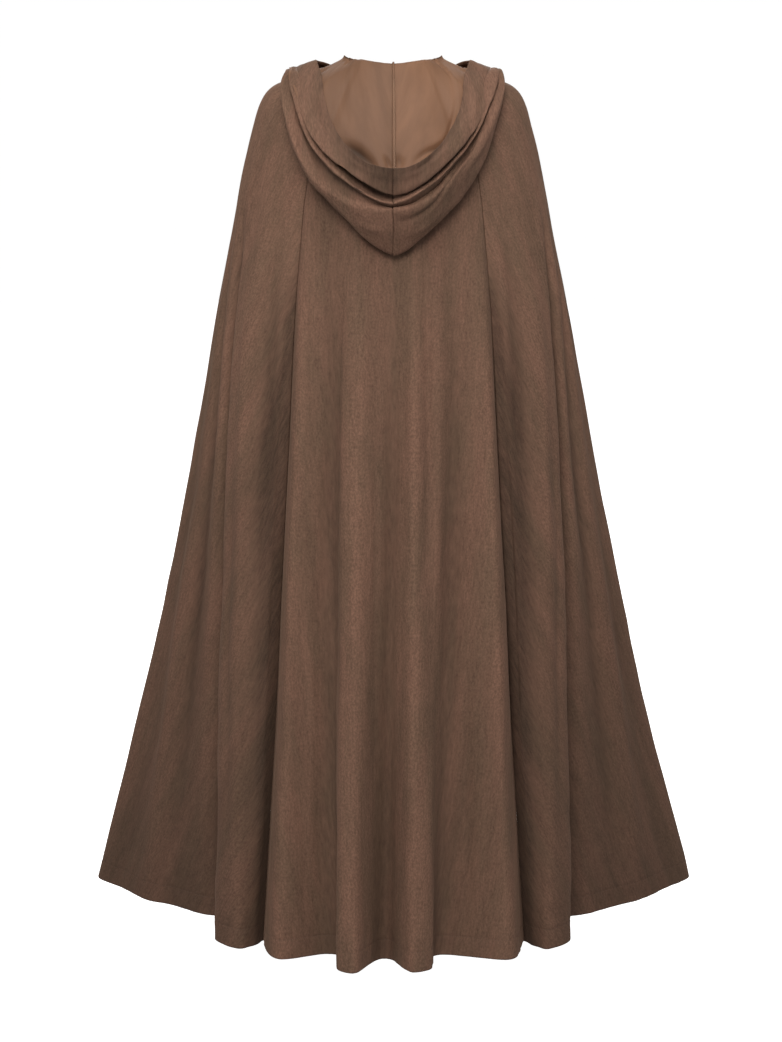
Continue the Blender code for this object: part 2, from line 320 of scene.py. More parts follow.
cloth = {
    "thick": 0.0012,
    "seamGap": 0.0003,
    "layerGap": 0.0018,  # from the middle of one layer to the middle of the next
    # the fold values found with these drive the painted shade and highlight
    "foldReach": 0.045,  # half the width over which a fold is told from the form
    "foldDepth": 0.010,
    "creaseShade": 0.8,  # how much a crease counts as a fold
    "creaseBlunt": 0.8,  # below 1, a crease swells fast at its ends and keeps its depth between them
}
# How far the middle of a turned edge's cloth stays from the line of its seam
edgeMargin = cloth["thick"] / 2 + cloth["seamGap"] / 2

# How a turned edge runs from the layer inside round to the one outside. Columns: distance
# from the edge, and depth inwards counted in layers
turnedEdge = ((0.0030, 1.0), (0.0012, 0.97), (0.0004, 0.85), (0.0, 0.5), (0.0004, 0.15), (0.0012, 0.03))


def smoothLine(values, at, soft=False):
    # A smooth line through rows of values, read at places counted in rows
    values = np.asarray(values, float)
    step = values[1:] - values[:-1]
    inner = (step[1:] + step[:-1]) / 2
    if not soft:
        smaller = np.minimum(np.abs(step[1:]), np.abs(step[:-1]))
        same = step[1:] * step[:-1] > 0
        inner = np.where(same, np.sign(inner) * np.minimum(np.abs(inner), 2 * smaller), 0)
    slope = np.concatenate([step[:1], inner, step[-1:]])
    at = np.asarray(at, float)
    low = np.clip(np.floor(at).astype(int), 0, len(values) - 2)
    t = (at - low).reshape((-1,) + (1,) * (values.ndim - 1))
    a, b, slopeA, slopeB = values[low], values[low + 1], slope[low], slope[low + 1]
    return (
        a * (2 * t**3 - 3 * t**2 + 1)
        + slopeA * (t**3 - 2 * t**2 + t)
        + b * (3 * t**2 - 2 * t**3)
        + slopeB * (t**3 - t**2)
    )


def unit(vectors):
    return vectors / np.maximum(np.linalg.norm(vectors, axis=-1, keepdims=True), 1e-12)


def along(place, line, values):
    # Columns of values read at places along a line
    return np.stack([np.interp(place, line, column) for column in values.T], axis=1)


def lengthAlong(line):
    # How far each point lies along a line of points
    return np.concatenate([[0], np.cumsum(np.linalg.norm(np.diff(line, axis=0), axis=1))])


def ripple(across, down, size, seed):
    # Small uneven waves of the cloth, with a size across and down
    flat = np.stack([across / size[0], down / size[1]], axis=2).reshape(-1, 2)
    return np.array([noise.noise(Vector((a, b, seed))) for a, b in flat]).reshape(across.shape)


def foldOf(place, points, normals):
    # How far a line's points stand out of the form around them: 1 on a crest, -1 in a hollow; the
    # materials paint highlight and shade from it
    reach = cloth["foldReach"]
    spot = np.linspace(place[0], place[-1], 260)
    line = along(spot, place, points)
    total = np.concatenate([np.zeros((1, 3)), np.cumsum((line[1:] + line[:-1]) / 2, axis=0)])
    total = total * (spot[1] - spot[0])
    low = np.clip(place - reach, spot[0], spot[-1])
    high = np.clip(place + reach, spot[0], spot[-1])
    mean = (along(high, spot, total) - along(low, spot, total)) / np.maximum(high - low, 1e-6)[:, None]
    return np.clip(((points - mean) * normals).sum(axis=1) / cloth["foldDepth"], -1, 1)


def makeCloth(name, points, across, down, fold, materials):
    # The cloth's mesh from its grid of points, with its flat map and the fold values that its materials
    # paint shade and highlight from
    rows, columns = points.shape[:2]
    shape = bmesh.new()
    bmesh.ops.create_grid(shape, x_segments=columns - 1, y_segments=rows - 1, size=1)
    mesh = meshOf(name, shape, materials)
    # the grid's points run along x first and from the last row up to the first
    order = [values[::-1].reshape(rows * columns, -1) for values in (points, across, down, fold)]
    mesh.vertices.foreach_set("co", order[0].ravel())
    corners = np.zeros(len(mesh.loops), dtype=np.int32)
    mesh.loops.foreach_get("vertex_index", corners)
    flat = np.hstack(order[1:3])[corners]
    mesh.uv_layers.new(name="flat").data.foreach_set("uv", flat.ravel())
    mesh.attributes.new("fold", "FLOAT", "POINT").data.foreach_set("value", order[3].ravel())
    mesh.shade_smooth()
    mesh.update()
    piece = addObject(name, mesh)
    wall = piece.modifiers.new("wall", "SOLIDIFY")
    wall.thickness = cloth["thick"]
    wall.offset = 0
    wall.material_offset = 1
    wall.material_offset_rim = 0
    sides = np.cross(points[1:, :-1] - points[:-1, :-1], points[:-1, 1:] - points[:-1, :-1])
    area = float(np.linalg.norm(sides, axis=2).sum())
    print(f"{name}: {rows} by {columns} points, {area:.3f} square metres of cloth")
    return piece, area


# Cloak: three panels from the neckline to the hem

cloak = {
    "foldStart": -0.200,
    "hemHeight": -1.430,
    "backColumn": 0.0056,  # spacing of the mesh's columns at the hem, on the back and in front
    "frontColumn": 0.0130,
    "rowStep": 0.0064,
    "seamAllowance": 0.010,
    "frontFacing": 0.022,
    "hemTurn": 0.034,
    "stitchHeight": 0.0315,  # of the hem's topstitch above the edge
    "slitWidth": 0.024,
    "slitEnd": -0.110,
    "chestSeamEnd": -0.310,
    "hemParting": 0.040,
    "rowsAbove": (0.054, 0.048, 0.042, 0.037),  # heights of close rows above the topstitch
    "rowsBelow": (0.026, 0.022, 0.018, 0.014, 0.010, 0.007, 0.0045, 0.0025),
    "edgeStart": 0.0025,  # from a turned edge to the first column of the flat panel
    # Small waves: depth, size across and down, and seed
    "waves": ((0.0042, (0.075, 0.34), 1.5), (0.0012, (0.022, 0.070), 7.5)),
    "pucker": (0.0016, (0.016, 0.09), 3.5),
    "puckerHeight": 0.05,
    "stitchDent": 0.0005,
    "flatEdge": 0.014,  # creases and waves fade out this near to an edge
    # painted shade: how much the back's folds count, and a painted shadow on the sides beside the back's
    # seams
    "backShading": 0.55,  # the back's folds are soft, so they count for less
    "seamShade": 1.8,  # the sides fall back darkly beside the back's seams
    "seamShadeWidth": 0.044,
    "seamShadeStart": -0.28,
    "seamShadeGrowth": 0.28,
}

# Columns: half width, depth at the back and in front, height at the back, at the sides and
# in front, and how round it goes over the shoulders
cloakSections = (
    (0.0800, 0.0755, 0.0755, 0.0170, 0.0070, -0.0030, 1.0),
    (0.0802, 0.0757, 0.0757, 0.0140, 0.0040, -0.0060, 1.0),
    (0.1100, 0.0900, 0.0930, 0.0010, 0.0060, -0.0260, 1.5),
    (0.1500, 0.1050, 0.1070, -0.0180, 0.0050, -0.0570, 2.0),
    (0.1900, 0.1210, 0.1200, -0.0480, -0.0010, -0.0900, 2.0),
    (0.2140, 0.1330, 0.1300, -0.0820, -0.0150, -0.1180, 2.0),
    (0.2290, 0.1420, 0.1380, -0.1150, -0.0390, -0.1450, 2.0),
    (0.2410, 0.1500, 0.1460, -0.1500, -0.0760, -0.1750, 2.0),
    (0.2560, 0.1590, 0.1560, -0.1950, -0.1340, -0.2150, 2.0),
    (0.2770, 0.1790, 0.1750, -0.2650, -0.2380, -0.2750, 2.0),
    (0.3090, 0.2160, 0.2100, -0.3940, -0.3940, -0.3940, 2.0),
    (0.3480, 0.2690, 0.2580, -0.6070, -0.6070, -0.6070, 2.0),
    (0.3920, 0.3190, 0.3020, -0.8230, -0.8230, -0.8230, 2.0),
    (0.4380, 0.3660, 0.3450, -1.0430, -1.0430, -1.0430, 2.0),
    (0.4950, 0.4110, 0.3900, -1.2670, -1.2670, -1.2670, 2.0),
    (0.5400, 0.4450, 0.4300, -1.4300, -1.4300, -1.4300, 2.0),
)

# Each line runs down a fold. Columns: angle round the neck, place across and back at the hem,
# how late the fold grows, and its swell half way down
backLines = {
    "corner left": (-90.0, -0.540, 0.000, 1.0, 0.000),
    "wing left outer": (-86.0, -0.489, -0.064, 1.0, 0.000),
    "wing left ridge": (-82.5, -0.442, -0.126, 1.0, 0.004),
    "wing left hollow": (-79.0, -0.392, -0.158, 1.0, -0.004),
    "wing left inner": (-75.0, -0.336, -0.204, 1.0, 0.004),
    "wing left valley": (-71.0, -0.284, -0.228, 1.0, -0.006),
    "flute left foot": (-69.5, -0.288, -0.282, 1.0, -0.002),
    "flute left edge": (-68.0, -0.299, -0.330, 1.0, 0.004),
    "flute left crest": (-58.0, -0.258, -0.377, 1.0, 0.004),
    "yoke left hollow": (-45.0, -0.241, -0.368, 1.0, -0.006),
    "yoke left ridge": (-38.6, -0.229, -0.358, 1.0, 0.002),
    "seam left": (-34.7, -0.220, -0.337, 0.9, -0.010),
    "panel left edge": (-33.3, -0.213, -0.388, 0.9, 0.000),
    "panel left crest": (-31.0, -0.184, -0.428, 1.0, 0.004),
    "panel left valley": (-21.5, -0.112, -0.402, 1.0, -0.005),
    "middle left foot": (-17.5, -0.087, -0.416, 1.1, -0.002),
    "middle left edge": (-15.6, -0.091, -0.466, 1.1, 0.002),
    "middle left crest": (-11.0, -0.066, -0.492, 1.0, 0.003),
    "middle valley": (0.2, -0.014, -0.425, 1.0, -0.006),
    "middle right crest": (6.8, 0.032, -0.488, 1.0, 0.003),
    "middle right edge": (11.0, 0.065, -0.466, 1.2, -0.004),
    "middle right foot": (14.6, 0.062, -0.428, 1.2, 0.004),
    "panel right valley": (22.0, 0.084, -0.405, 1.0, -0.004),
    "panel right crest": (31.0, 0.186, -0.430, 1.0, 0.006),
    "panel right edge": (33.3, 0.214, -0.392, 0.9, 0.000),
    "seam right": (34.7, 0.222, -0.340, 0.9, -0.010),
    "yoke right ridge": (38.6, 0.231, -0.360, 1.0, 0.002),
    "yoke right hollow": (45.0, 0.243, -0.370, 1.0, -0.006),
    "flute right crest": (58.0, 0.259, -0.380, 1.0, 0.004),
    "flute right edge": (68.0, 0.301, -0.332, 1.0, 0.004),
    "flute right foot": (69.5, 0.290, -0.284, 1.0, -0.002),
    "wing right valley": (71.0, 0.286, -0.230, 1.0, -0.006),
    "wing right inner": (75.0, 0.338, -0.204, 1.0, 0.004),
    "wing right hollow": (79.0, 0.396, -0.160, 1.0, -0.004),
    "wing right ridge": (82.5, 0.442, -0.127, 1.0, 0.006),
    "wing right outer": (86.0, 0.491, -0.066, 1.0, 0.000),
    "corner right": (90.0, 0.540, 0.000, 1.0, 0.000),
}

# The same columns for one front side
frontLines = {
    "front corner": (98.0, 0.512, 0.074, 1.0, 0.000),
    "front outer ridge": (108.0, 0.482, 0.156, 1.0, 0.004),
    "front outer valley": (119.0, 0.420, 0.196, 1.0, -0.004),
    "front middle ridge": (131.0, 0.398, 0.300, 1.0, 0.004),
    "front middle valley": (143.0, 0.304, 0.312, 1.0, -0.004),
    "front inner ridge": (154.0, 0.246, 0.400, 1.0, 0.004),
    "front inner valley": (165.0, 0.152, 0.392, 1.0, -0.004),
    "front edge ridge": (173.0, 0.092, 0.434, 1.0, 0.000),
    "front edge": (180.0, 0.020, 0.428, 1.0, 0.000),
}

# Soft ridges, and troughs where the depth is negative. Columns: angle and height where it
# starts, angle and height where it ends, then width, depth and sideways bow in millimetres
backCreases = (
    (-21.5, -0.19, -21.0, -0.95, 15, -2.6, 3),
    (-11.5, -0.18, -11.0, -0.85, 16, 2.2, -3),
    (0.5, -0.24, -1.0, -1.10, 11, -2.6, 2),
    (6.5, -0.24, 6.0, -0.90, 9, 1.8, 2),
    (11.2, -0.24, 10.0, -0.80, 7, -2.2, 0),
    (15.0, -0.22, 14.0, -0.95, 9, 2.0, -2),
    (20.8, -0.19, 20.0, -1.05, 12, -3.0, 3),
    (27.8, -0.20, 27.0, -0.90, 15, 3.0, 0),
    (-30.0, -0.22, -29.0, -0.80, 9, 2.2, 0),
    (-26.0, -0.80, -25.0, -1.40, 8, 2.2, 3),
    (-5.5, -0.60, -4.0, -1.25, 7, -2.0, 2),
    (25.0, -0.90, 26.0, -1.42, 9, -2.4, -3),
)
sideCreases = (
    (37.6, -0.26, 38.0, -1.42, 13, -7.0, 0),
    (44.5, -0.16, 45.5, -0.85, 12, -4.6, 2),
    (52.0, -0.10, 55.0, -0.60, 14, 4.0, 3),
    (60.0, -0.30, 58.0, -1.00, 12, 4.4, -2),
    (63.0, -0.60, 62.0, -1.35, 8, -3.2, 0),
    (71.0, -0.20, 71.0, -0.95, 14, -6.0, 2),
    (76.0, -0.16, 75.5, -0.90, 15, 4.4, -3),
    (80.0, -0.40, 79.5, -1.38, 13, -4.8, 3),
    (84.0, -0.70, 83.0, -1.40, 13, 3.6, 2),
    (88.0, -0.16, 90.0, -0.95, 16, -3.6, 0),
    (104.0, -0.20, 106.0, -1.10, 15, 3.6, 3),
    (114.0, -0.26, 115.0, -1.20, 13, -4.0, -3),
    (126.0, -0.22, 128.0, -1.00, 14, 3.4, 2),
    (138.0, -0.30, 139.0, -1.15, 12, -3.8, 2),
    (149.0, -0.24, 150.0, -0.95, 12, 3.2, -2),
    (160.0, -0.34, 160.0, -1.25, 11, -3.4, 2),
    (169.0, -0.40, 169.0, -1.10, 9, 2.4, 0),
)

rightFront = list(frontLines.values())
leftFront = [(-a, -x, y, late, swell) for a, x, y, late, swell in reversed(rightFront)]
cloakLines = np.array(leftFront + list(backLines.values()) + rightFront)
lastLine = len(cloakLines) - 1
seamLeft = len(leftFront) + list(backLines).index("seam left")
seamRight = len(leftFront) + list(backLines).index("seam right")
middleLine = len(leftFront) + list(backLines).index("middle valley")
lastSection = len(cloakSections) - 1
lastDrop = cloakSections[-2][3] - cloakSections[-1][3]


def frontGap(height):
    # Half the distance between the two front edges: a slit, a sewn length and a parting
    closed = cloth["seamGap"] / 2
    if height > cloak["slitEnd"]:
        part = min((height - cloak["slitEnd"]) / 0.08, 1.0)
        return closed + (cloak["slitWidth"] / 2 - closed) * part**2
    if height > cloak["chestSeamEnd"]:
        return closed
    part = (cloak["chestSeamEnd"] - height) / (cloak["chestSeamEnd"] - cloak["hemHeight"])
    return closed + (cloak["hemParting"] / 2 - closed) * part**1.2


def cloakRow(place, at):
    # Points of the cloak on one row; the row is counted in sections and the places in lines
    half, back, front, zBack, zSide, zFront, bend = smoothLine(cloakSections, [place])[0]
    angle = np.radians(cloakLines[:, 0])
    turn = 1 - np.abs(np.cos(angle)) ** bend
    behind = np.cos(angle) > 0
    height = np.where(behind, zBack, zFront) * (1 - turn) + zSide * turn
    reach = np.clip((cloak["foldStart"] - height) / (cloak["foldStart"] - cloak["hemHeight"]), 0, 1)
    grown = reach ** cloakLines[:, 3]
    hemHalf, hemBack, hemFront = cloakSections[-1][:3]
    hemDepth = np.where(cloakLines[:, 2] < 0, hemBack, hemFront)
    outX = np.sin(angle) * (1 - grown) + cloakLines[:, 1] / hemHalf * grown
    outY = -np.cos(angle) * (1 - grown) + cloakLines[:, 2] / hemDepth * grown
    swell = cloakLines[:, 4] * np.sin(math.pi * reach)
    x = half * outX + swell * np.sin(angle) * turn
    y = np.where(outY < 0, back, front) * outY - swell * np.cos(angle)
    gap = frontGap(height[0])
    x[0], x[-1] = -gap, gap
    return smoothLine(np.stack([x, y, height], axis=1), at)


def aboveHem(heights):
    # Places of rows, counted in sections, from their heights above the hem
    return [lastSection - height / lastDrop for height in heights]


def rowPlaces():
    # The mesh's rows, evenly spaced down the back and closer near the hem
    spread = np.linspace(0, aboveHem([0.06])[0], 400)
    run = lengthAlong(np.array([cloakRow(s, [middleLine])[0] for s in spread]))
    even = np.interp(np.linspace(0, run[-1], round(run[-1] / cloak["rowStep"])), run, spread)
    stitches = [cloak["stitchHeight"] + step for step in (0.002, 0.001, 0, -0.001, -0.002)]
    return np.array([*even, *aboveHem([*cloak["rowsAbove"], *stitches, *cloak["rowsBelow"]])])


def columnPlaces(dense):
    # A panel's columns, counted in lines and evenly spaced at the hem
    hemLine = cloakRow(lastSection, dense)
    step = np.where(hemLine[:, 1] > 0.05, cloak["frontColumn"], cloak["backColumn"])
    count = np.concatenate([[0], np.cumsum(np.diff(lengthAlong(hemLine)) / step[1:])])
    return np.interp(np.linspace(0, count[-1], round(count[-1]) + 1), count, dense)


def rowNormals(place, dense, line, run, seams):
    # Outward normals along a row. At a seam, the panel's start (0) or end (1), both panels
    # turn in along the same one, taken across the seam
    drop = cloakRow(min(place + 0.02, lastSection), dense) - cloakRow(max(place - 0.02, 0), dense)
    normal = unit(np.cross(drop, np.gradient(line, axis=0)))
    for end, seam in seams:
        across = np.diff(cloakRow(place, [seam - 0.25, seam + 0.25]), axis=0)[0]
        common = unit(np.cross(drop[-end], across))
        near = np.exp(-(((run - run[-end] * end) / 0.006) ** 2))[:, None]
        normal = unit(normal * (1 - near) + common * near)
    return normal


def rowFolds(place, stretch):
    # How far a row stands out of the form around it, along a stretch that goes past the seams
    around = cloakRow(place, stretch)
    outward = unit(np.cross((0.0, 0.0, -1.0), np.gradient(around, axis=0)))
    return foldOf(lengthAlong(around), around, outward)


def panelCreases(creases, angles, places, heights, flat):
    # How far the creases stand out at each point; flat picks a row's points between its turns
    raised = np.zeros(places.shape)
    for angleA, heightA, angleB, heightB, wide, tall, bow in creases:
        for row, rowPlace in enumerate(places):
            rowAngle = angles[row][flat]
            height = np.interp((angleA + angleB) / 2, rowAngle, heights[row][flat])
            part = (height - heightA) / (heightB - heightA)
            if 0 < part < 1:
                swing = math.sin(math.pi * part)
                middle = np.interp(angleA + (angleB - angleA) * part, rowAngle, rowPlace[flat])
                reach = wide * millimetre * (0.75 + 0.5 * part)
                off = (rowPlace - middle - bow * millimetre * swing) / reach
                raised[row] += tall * millimetre * swing ** cloth["creaseBlunt"] * np.exp(-(off**2))
    return raised


def panelWaves(across, depth, heights, seed):
    # Small waves all over, puckers near the hem and a dent along its topstitch
    above = heights - cloak["hemHeight"]
    waves = sum(tall * ripple(across, depth, size, own + seed) for tall, size, own in cloak["waves"])
    waves -= cloak["stitchDent"] * np.exp(-(((above - cloak["stitchHeight"]) / 0.0012) ** 2))
    tall, size, own = cloak["pucker"]
    near = np.exp(-((above / cloak["puckerHeight"]) ** 2))
    return waves + tall * near * ripple(across, depth, size, own)


def panel(name, first, last, facings, creases, materials):
    # One panel between two lines, with its side edges turned in and its hem folded up inside
    dense = np.linspace(first, last, (last - first) * 36 + 1)
    columns = columnPlaces(dense)
    lineAngle = np.interp(dense, range(len(cloakLines)), cloakLines[:, 0])
    stretch = np.linspace(max(first - 4, 0), min(last + 4, lastLine), (last - first + 8) * 12)
    seams = [(end, line) for end, line in ((0, first), (1, last)) if 0 < line < lastLine]

    # the rows go down to the hem, round its edge and up inside to the turned edge's end
    rows = rowPlaces()
    edge = turnedEdge[::-1]
    up = np.linspace(0.007, cloak["hemTurn"], 7)
    down = [*rows, *aboveHem([d for d, _ in edge]), *aboveHem(up)]
    rowSink = np.array([0.0] * len(rows) + [sink for _, sink in edge] + [1.0] * len(up))

    # the columns start at one facing's free edge, turn round its edge, cross the panel and
    # turn back at the other side
    leftSide = [(facings[0] * part, 1.0) for part in (1, 0.66, 0.33)] + list(turnedEdge)
    rightSide = list(edge) + [(facings[1] * part, 1.0) for part in (0.33, 0.66, 1)]
    leftSink, rightSink = ([sink for _, sink in side] for side in (leftSide, rightSide))
    columnSink = np.array(leftSink + [0.0] * len(columns) + rightSink)
    turned = len(leftSide)

    points, normals, places, angles, folds, middles = [], [], [], [], [], []
    for place in down:
        line = cloakRow(place, dense)
        run = lengthAlong(line)
        start, end = edgeMargin, run[-1] - edgeMargin
        room = end - start - 2 * cloak["edgeStart"]
        inside = start + cloak["edgeStart"] + np.interp(columns, dense, run) / run[-1] * room
        limit = (end - start) / 3
        at = [start + min(d, limit) for d, _ in leftSide] + list(inside)
        at = np.array(at + [end - min(d, limit) for d, _ in rightSide])
        points.append(along(at, run, line))
        normals.append(unit(along(at, run, rowNormals(place, dense, line, run, seams))))
        places.append(at)
        angles.append(np.interp(at, run, lineAngle))
        folds.append(np.interp(np.interp(at, run, dense), stretch, rowFolds(place, stretch)))
        middles.append(np.interp((lineAngle[0] + lineAngle[-1]) / 2, lineAngle, run))
    points, normals, places = np.array(points), np.array(normals), np.array(places)
    heights = points[:, :, 2]
    run = lengthAlong(points[:len(rows), points.shape[1] // 2])
    run = np.interp(down, rows, run) + np.clip(np.array(down) - rows[-1], 0, None) * lastDrop
    depth = np.repeat(run[:, None], points.shape[1], axis=1)
    across = places - np.array(middles)[:, None]
    fromEnd = places[:, -turned - 1:-turned] - places

    raised = panelCreases(creases, angles, places, heights, slice(turned, -turned))
    raised += panelWaves(across, depth, heights, first)
    raised *= np.clip((heights[0][None, :] - heights + 0.02) / 0.10, 0, 1)
    fromEdge = np.minimum(places, fromEnd + 0.003) / cloak["flatEdge"]
    raised *= 1 - np.exp(-(fromEdge**2))

    # a facing keeps one layer inside, and the hem's turn goes over it at the corners
    overFacing = np.maximum(facings[0] + 0.010 - places, facings[1] + 0.006 - fromEnd)
    near = np.clip(overFacing / 0.008, 0, 1)
    sink = columnSink[None, :] + rowSink[:, None] * (1 + 2 * near * (1 - columnSink[None, :]))
    points = points + normals * (raised - sink * cloth["layerGap"])[:, :, None]

    # the values the materials paint shade and highlight from: softer on the back, and on the sides a
    # painted shadow beside the back's seams
    fold = np.array(folds) + raised / cloth["foldDepth"] * cloth["creaseShade"]
    if first > 0 and last < lastLine:
        fold *= cloak["backShading"]
    else:
        fromSeam = places if first > 0 else fromEnd + 0.003
        grown = (cloak["seamShadeStart"] - points[:, :, 2]) / cloak["seamShadeGrowth"]
        shade = cloak["seamShade"] * np.exp(-((fromSeam / cloak["seamShadeWidth"]) ** 2))
        fold -= shade * np.clip(grown, 0, 1)
    folded = np.where(rowSink > 0.5, 2 * run[len(rows) + 3] - run, run)
    depth = np.repeat(folded[:, None], points.shape[1], axis=1)
    piece, area = makeCloth(name, points, across, depth, np.clip(fold, -1, 1), materials)

    # the topstitch runs from one turned edge to the other
    stitchRow = int(np.argmin(np.abs(rows - aboveHem([cloak["stitchHeight"]])[0])))
    lineNormals = normals[stitchRow, turned - 2:2 - turned]
    stitchLine = points[stitchRow, turned - 2:2 - turned] + lineNormals * (cloth["thick"] / 2)
    return piece, area, stitchLine, lineNormals


seamTurn, frontTurn = cloak["seamAllowance"], cloak["frontFacing"]
leftCreases = [(-a, za, -b, zb, wide, tall, -bow) for a, za, b, zb, wide, tall, bow in sideCreases]
# lit and shaded copies of one suede: they differ only in painted lightness over the shoulders and towards
# the hem, and the sides are painted darkest at the hem
backSuede = suedeMaterial("napped faux suede with painted shade, back", 0.88, 0.79, 2)
leftSuede = suedeMaterial("napped faux suede with painted shade, left side", 0.97, 0.58, 11)
rightSuede = suedeMaterial("napped faux suede with painted shade, right side", 0.97, 0.59, 17)
panels = {
    "back_centre": (seamLeft, seamRight, (seamTurn, seamTurn), backCreases, (backSuede, leftWrongSide)),
    "side_left": (0, seamLeft, (frontTurn, seamTurn), leftCreases, (leftSuede, leftWrongSide)),
    "side_right": (seamRight, lastLine, (seamTurn, frontTurn), sideCreases, (rightSuede, rightWrongSide)),
}
made = {}
for panelName, (first, last, facings, creases, materials) in panels.items():
    made[panelName] = panel("suede_" + panelName, first, last, facings, creases, materials)


# Hood: two halves, folded down at the back

hood = {
    "end": 171.0,  # degrees round the neck from the middle of the back
    "columns": 124,
    "columnGrowth": 1.15,
    "neckGap": 0.0012,
    "rimMark": 15,  # the rim's place among the points of a profile
    "landmark": 0.015,  # usual length between the last two of them
    "rimTurn": 0.014,
    # How many rows the mesh has between each two points of a profile
    "rowsBetween": (5, 6, 7, 30, 26, 14, 16, 16, 14, 12, 12, 14, 12, 10, 10),
    "allowance": (-1.9, -1.3, -0.7, -0.3),  # degrees past the centre seam
    "allowanceLayer": 1.9,
    "overlock": (3.1, 4.3),  # the places on a profile where it starts and ends
    "normalStep": 0.15,  # degrees from a point to its neighbours that give its normal
    # Small waves: depth, size across and down, and seed
    "waves": ((0.0034, (0.070, 0.045), 2.5), (0.0014, (0.020, 0.014), 5.5)),
}

# Columns: angle, then distance out and height of the lower turn, of the face band's lower side
# and of the rim, how full the drapes are, where the groove and the low drape's crest lie
# between the turn (0) and the band (1), and how deep the gap under the band is
hoodLeft = (
    (0.0, 0.204, -0.284, 0.232, -0.181, 0.250, -0.139, 1.00, 0.78, 0.71, 0.5),
    (5.0, 0.205, -0.276, 0.232, -0.174, 0.246, -0.136, 1.00, 0.76, 0.64, 0.9),
    (12.0, 0.205, -0.259, 0.228, -0.159, 0.234, -0.127, 1.00, 0.73, 0.52, 1.0),
    (20.0, 0.206, -0.232, 0.220, -0.139, 0.212, -0.107, 1.00, 0.68, 0.38, 0.7),
    (31.0, 0.209, -0.196, 0.206, -0.109, 0.185, -0.079, 1.00, 0.60, 0.26, 0.2),
    (40.0, 0.212, -0.161, 0.196, -0.083, 0.167, -0.056, 0.95, 0.60, 0.24, 0.0),
    (50.0, 0.210, -0.114, 0.184, -0.048, 0.154, -0.014, 0.87, 0.60, 0.26, 0.0),
    (60.0, 0.203, -0.060, 0.177, -0.015, 0.140, 0.009, 0.80, 0.56, 0.25, 0.0),
    (69.0, 0.194, -0.018, 0.172, 0.006, 0.135, 0.023, 0.72, 0.54, 0.24, 0.0),
    (78.0, 0.182, 0.009, 0.168, 0.016, 0.134, 0.036, 0.60, 0.80, 0.38, 0.0),
    (92.0, 0.171, 0.014, 0.164, 0.020, 0.131, 0.036, 0.50, 0.80, 0.38, 0.0),
    (110.0, 0.158, 0.006, 0.148, 0.014, 0.122, 0.032, 0.40, 0.80, 0.38, 0.0),
    (130.0, 0.140, -0.018, 0.130, -0.004, 0.110, 0.016, 0.30, 0.80, 0.38, 0.0),
    (150.0, 0.121, -0.032, 0.112, -0.017, 0.100, 0.003, 0.20, 0.80, 0.38, 0.0),
    (162.0, 0.108, -0.026, 0.103, -0.012, 0.096, 0.006, 0.10, 0.80, 0.38, 0.0),
    (171.0, 0.094, -0.008, 0.094, 0.002, 0.093, 0.011, 0.00, 0.80, 0.38, 0.0),
)
hoodRight = (
    hoodLeft[0],
    (6.0, 0.205, -0.275, 0.232, -0.173, 0.249, -0.136, 1.00, 0.75, 0.66, 0.0),
    (13.0, 0.206, -0.256, 0.229, -0.156, 0.241, -0.122, 1.00, 0.72, 0.59, 0.0),
    (20.0, 0.207, -0.235, 0.220, -0.135, 0.226, -0.102, 1.00, 0.71, 0.57, 0.0),
    (27.0, 0.208, -0.212, 0.212, -0.112, 0.206, -0.079, 1.00, 0.74, 0.60, 0.0),
    (35.0, 0.209, -0.183, 0.202, -0.088, 0.186, -0.055, 0.96, 0.75, 0.61, 0.0),
    (48.0, 0.208, -0.126, 0.184, -0.056, 0.158, -0.022, 0.87, 0.75, 0.55, 0.0),
    (60.0, 0.202, -0.060, 0.176, -0.016, 0.140, 0.010, 0.78, 0.60, 0.36, 0.0),
    (69.0, 0.194, -0.020, 0.172, 0.006, 0.135, 0.023, 0.70, 0.56, 0.28, 0.0),
    (78.0, 0.182, 0.008, 0.169, 0.015, 0.134, 0.036, 0.60, 0.80, 0.38, 0.0),
    *hoodLeft[-6:],
)

# Height of the roll above the collar seam. Columns: angle, height
rollHeights = (
    (0, 0.0210), (10, 0.0225), (30, 0.0285), (50, 0.0355), (70, 0.0400), (77, 0.0425), (82, 0.036),
    (88, 0.030), (110, 0.024), (130, 0.021), (150, 0.019), (162, 0.017), (171, 0.015),
)

# Creases on the folded hood. Columns: place across and height where it starts and where it
# ends, then width, depth and bow in millimetres
hoodCreases = {
    -1: (
        (-0.105, -0.190, -0.030, -0.262, 7, 3.0, 3),
        (-0.060, -0.225, -0.012, -0.240, 6, 2.6, -2),
        (-0.070, -0.238, -0.030, -0.255, 4, -2.6, 1),
        (-0.160, -0.060, -0.120, -0.150, 7, 3.0, -3),
        (-0.168, -0.045, -0.140, -0.105, 6, -3.0, 2),
        (-0.105, -0.100, -0.060, -0.134, 5, -2.2, 2),
    ),
    1: (
        (-0.002, -0.228, 0.088, -0.178, 5, -5.0, 3),
        (0.068, -0.192, 0.140, -0.098, 5, -5.0, 3),
        (0.015, -0.246, 0.085, -0.206, 7, 2.8, 2),
        (0.092, -0.110, 0.150, -0.045, 6, -3.0, -3),
        (0.120, -0.150, 0.162, -0.085, 7, 3.0, 3),
        (0.030, -0.145, 0.070, -0.118, 5, -2.0, 1),
    ),
}

# Folds of the hood's back wall, seen inside it. Columns: angle and place on the profile where
# it starts and where it ends, then width, depth and bow in millimetres
wallCreases = {
    -1: (
        (33, 4.27, 7, 4.19, 10, 10.0, 0),
        (5, 3.96, 1, 4.12, 5, 6.0, 0),
    ),
    1: (
        (14, 4.22, 48, 3.92, 5, -6.0, 0),
        (12, 4.15, 46, 3.83, 5, 7.0, 0),
        (1, 3.98, 6, 4.12, 5, 5.0, 0),
    ),
}


